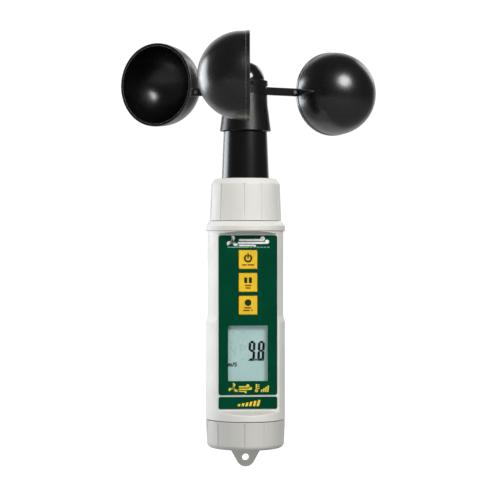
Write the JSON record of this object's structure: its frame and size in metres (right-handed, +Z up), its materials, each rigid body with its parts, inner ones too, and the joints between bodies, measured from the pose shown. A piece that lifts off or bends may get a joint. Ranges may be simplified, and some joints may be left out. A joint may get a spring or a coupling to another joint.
{
  "type": "handheld weather meter",
  "caption": "Pen-shaped handheld weather meter with a spinning cup rotor on a tapered neck, a keypad and display on a flat front, and a battery end cap with a lanyard lug.",
  "frame": {"origin": "centre of the lanyard hole in the lug under the end cap, on the rotor's spin axis", "axes": "+Z up along the spin axis from the lug to the rotor, -Y out of the front face with the keys and display, +X to the right of someone facing the display"},
  "size_m": [0.1184, 0.1143, 0.1951],
  "materials": {
    "case_shell": "fine satin moulded grain",
    "front_label": "printed film, soft gloss",
    "lower_label": "printed film, soft gloss",
    "clear_window": "clear polished",
    "display_bezel": "matte black",
    "display_cell": "grey-green liquid crystal cell",
    "zebra_rubber": "striped conductive rubber",
    "circuit_board": "solder mask",
    "screw_steel": "zinc plated",
    "switch_domes": "stamped dome",
    "chips": "moulded epoxy",
    "spring_contacts": "gold flashed",
    "cap_shell": "fine satin moulded grain",
    "seal_rubber": "smooth moulded rubber",
    "tray_plastic": "matte black",
    "cell_steel": "stamped steel can",
    "terminal_metal": "nickel plated strip",
    "collar_shell": "fine satin moulded grain",
    "neck_black": "satin black",
    "bead_glass": "glass bead",
    "lead_sleeve": "matte sleeve",
    "bearing_steel": "ground steel",
    "shaft_steel": "ground steel",
    "spacer_brass": "turned brass",
    "magnet_nickel": "nickel plated",
    "hub_black": "satin black",
    "dome_black": "high gloss black",
    "power_key": "satin silicone",
    "hold_key": "satin silicone",
    "record_key": "satin silicone",
    "arm_black": "satin black",
    "cup_black": "satin black",
    "pin_steel": "plain steel"
  },
  "bodies": {
    "meter": {"housing": "case_shell", "label_panel": "front_label", "model_plate": "lower_label", "display_window": "clear_window", "display_frame": "display_bezel", "display_glass": "display_cell", "contact_strips": "zebra_rubber", "main_board": "circuit_board", "board_screws": "screw_steel", "key_switches": "switch_domes", "board_components": "chips", "board_contacts": "spring_contacts", "neck": "neck_black", "neck_seal": "seal_rubber", "sensor_board": "circuit_board", "temperature_sensor": "bead_glass", "sensor_lead": "lead_sleeve", "bearing_outer_races": "bearing_steel"},
    "rotor": {"rotor_hub": "hub_black", "hub_dome": "dome_black", "shaft_nut": "screw_steel", "rotor_shaft": "shaft_steel", "bearing_inner_races": "bearing_steel", "bearing_balls": "bearing_steel", "bearing_spacer": "spacer_brass", "shaft_clip": "screw_steel", "magnet": "magnet_nickel", "arm_front": "arm_black", "arm_right": "arm_black", "arm_left": "arm_black", "arm_pins": "pin_steel", "cup_front": "cup_black", "cup_right": "cup_black", "cup_left": "cup_black"},
    "collar_ring": {"collar": "collar_shell"},
    "battery_end": {"end_cap": "cap_shell", "cap_seal": "seal_rubber", "battery_tray": "tray_plastic", "coin_cells": "cell_steel", "cell_terminals": "terminal_metal", "tray_screws": "screw_steel"},
    "key_power_body": {"key_power": "power_key"},
    "key_hold_body": {"key_hold": "hold_key"},
    "key_record_body": {"key_record": "record_key"}
  },
  "joints": [
    {"name": "rotor_spin", "type": "hinge", "parent": "meter", "child": "rotor", "pos_m": [0, 0, 0.1556], "axis": [0, 0, 1], "continuous": true},
    {"name": "collar_turn", "type": "hinge", "parent": "meter", "child": "collar_ring", "pos_m": [0, 0, 0.117], "axis": [0, 0, 1], "range_deg": [0, 90]},
    {"name": "cap_pull", "type": "slide", "parent": "meter", "child": "battery_end", "axis": [0, 0, -1], "range_m": [0, 0.055]},
    {"name": "key_power_press", "type": "slide", "parent": "meter", "child": "key_power_body", "axis": [0, 1, 0], "range_m": [0, 0.0004], "stiffness_N_per_m": 1000},
    {"name": "key_hold_press", "type": "slide", "parent": "meter", "child": "key_hold_body", "axis": [0, 1, 0], "range_m": [0, 0.0004], "stiffness_N_per_m": 1000},
    {"name": "key_record_press", "type": "slide", "parent": "meter", "child": "key_record_body", "axis": [0, 1, 0], "range_m": [0, 0.0004], "stiffness_N_per_m": 1000}
  ]
}
